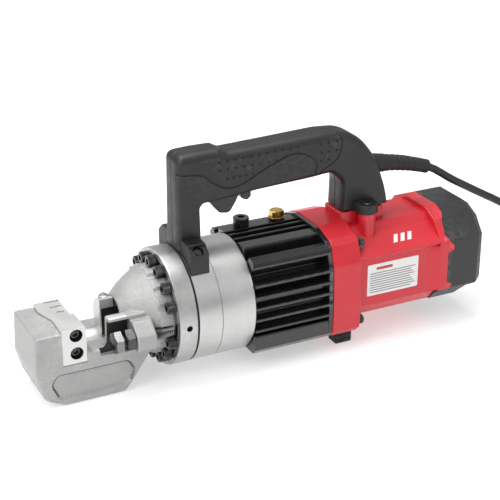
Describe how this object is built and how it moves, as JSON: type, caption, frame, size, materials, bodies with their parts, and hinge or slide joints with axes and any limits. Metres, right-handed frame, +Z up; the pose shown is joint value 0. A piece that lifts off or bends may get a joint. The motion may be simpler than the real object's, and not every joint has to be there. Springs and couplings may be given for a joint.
{
  "type": "portable rebar cutter",
  "caption": "Hand-held electro-hydraulic rebar cutter with a C-shaped cutting head, ribbed pump body, motor, top handle with trigger, and power cord",
  "frame": {"origin": "on the floor under the middle of the machine, cord, coil and plug left out", "axes": "+X from the cutting head to the motor, +Y away from the open cutting side, +Z up"},
  "size_m": [0.6454, 0.1515, 0.1886],
  "materials": {
    "cast_head": "sand-cast, bead-blasted grey",
    "machined_steel": "bright turned and ground steel",
    "satin_steel": "fine-turned satin",
    "black_oxide": "black-oxide steel",
    "pump_black": "gloss black enamel on a casting",
    "brass": "turned brass",
    "red_plastic": "moulded red nylon, satin",
    "charcoal_plastic": "fine-grained charcoal plastic",
    "black_rubber": "matt moulded rubber",
    "cord_jacket": "semi-matt cord jacket",
    "winding_copper": "copper windings on a steel shaft",
    "lamination": "stacked electrical steel"
  },
  "bodies": {
    "machine": {"cutter_head": "cast_head", "fixed_cutter_block": "cast_head", "return_spring": "machined_steel", "filler_plug": "machined_steel", "pump_block": "machined_steel", "shaft_bearing": "machined_steel", "motor_bearing": "machined_steel", "flange_ring": "satin_steel", "cylinder_barrel": "satin_steel", "block_screw_upper": "black_oxide", "block_screw_lower": "black_oxide", "flange_screw_01": "black_oxide", "flange_screw_02": "black_oxide", "flange_screw_03": "black_oxide", "flange_screw_04": "black_oxide", "flange_screw_05": "black_oxide", "flange_screw_06": "black_oxide", "flange_screw_07": "black_oxide", "flange_screw_08": "black_oxide", "flange_screw_09": "black_oxide", "flange_screw_10": "black_oxide", "flange_screw_11": "black_oxide", "flange_screw_12": "black_oxide", "flange_screw_13": "black_oxide", "flange_screw_14": "black_oxide", "housing_screw_1": "black_oxide", "housing_screw_2": "black_oxide", "housing_screw_3": "black_oxide", "housing_screw_4": "black_oxide", "handle_front_screw_1": "black_oxide", "handle_front_screw_2": "black_oxide", "handle_rear_screw_1": "black_oxide", "handle_rear_screw_2": "black_oxide", "pump_housing": "pump_black", "switch_body": "charcoal_plastic", "motor_housing": "red_plastic", "rear_cover": "charcoal_plastic", "handle_near_half": "charcoal_plastic", "handle_far_half": "charcoal_plastic", "foot_near": "black_rubber", "foot_far": "black_rubber", "cable_boot": "black_rubber", "plug": "black_rubber", "power_cord": "cord_jacket", "cord_coil": "cord_jacket", "stator": "lamination"},
    "ram_group": {"ram": "machined_steel", "moving_cutter": "machined_steel", "moving_cutter_screw": "black_oxide", "piston": "machined_steel"},
    "stop_bolt": {"stop_bolt": "black_oxide"},
    "lock_nut": {"stop_lock_nut": "black_oxide"},
    "trigger": {"trigger": "charcoal_plastic"},
    "lock_button": {"lock_button": "charcoal_plastic"},
    "release_valve": {"release_valve_screw": "brass"},
    "rotor": {"armature": "winding_copper", "cooling_fan": "charcoal_plastic"},
    "eccentric": {"eccentric_shaft": "machined_steel", "drive_gear": "machined_steel"},
    "pump_plunger": {"plunger": "machined_steel"}
  },
  "joints": [
    {"name": "ram_stroke", "type": "slide", "parent": "machine", "child": "ram_group", "axis": [-1, 0, 0], "range_m": [0, 0.0235], "stiffness_N_per_m": 1800, "springref_m": -0.015, "deforming": ["return_spring"]},
    {"name": "stop_bolt_adjust", "type": "slide", "parent": "machine", "child": "stop_bolt", "axis": [-1, 0, 0], "range_m": [0, 0.008]},
    {"name": "lock_nut_spin", "type": "hinge", "parent": "stop_bolt", "child": "lock_nut", "pos_m": [-0.1347, -0.037, 0.0505], "axis": [1, 0, 0], "continuous": true},
    {"name": "trigger_press", "type": "slide", "parent": "machine", "child": "trigger", "axis": [0, 0, 1], "range_m": [0, 0.007], "stiffness_N_per_m": 600, "springref_m": -0.005},
    {"name": "lock_button_press", "type": "slide", "parent": "machine", "child": "lock_button", "axis": [0, 0, 1], "range_m": [0, 0.003], "stiffness_N_per_m": 600, "springref_m": -0.003},
    {"name": "release_valve_turn", "type": "hinge", "parent": "machine", "child": "release_valve", "pos_m": [0.03, 0.0185, 0.1052], "axis": [0, 0, 1], "range_deg": [0, 360]},
    {"name": "motor_spin", "type": "hinge", "parent": "machine", "child": "rotor", "pos_m": [0.0575, 0, 0.0625], "axis": [1, 0, 0], "continuous": true},
    {"name": "eccentric_spin", "type": "hinge", "parent": "machine", "child": "eccentric", "pos_m": [0.0575, 0, 0.0415], "axis": [1, 0, 0], "continuous": true},
    {"name": "plunger_stroke", "type": "slide", "parent": "machine", "child": "pump_plunger", "axis": [0, 0, -1], "range_m": [0, 0.004]}
  ],
  "couplings": [
    {"joint": "eccentric_spin", "follows": "motor_spin", "ratio": -0.3125}
  ]
}
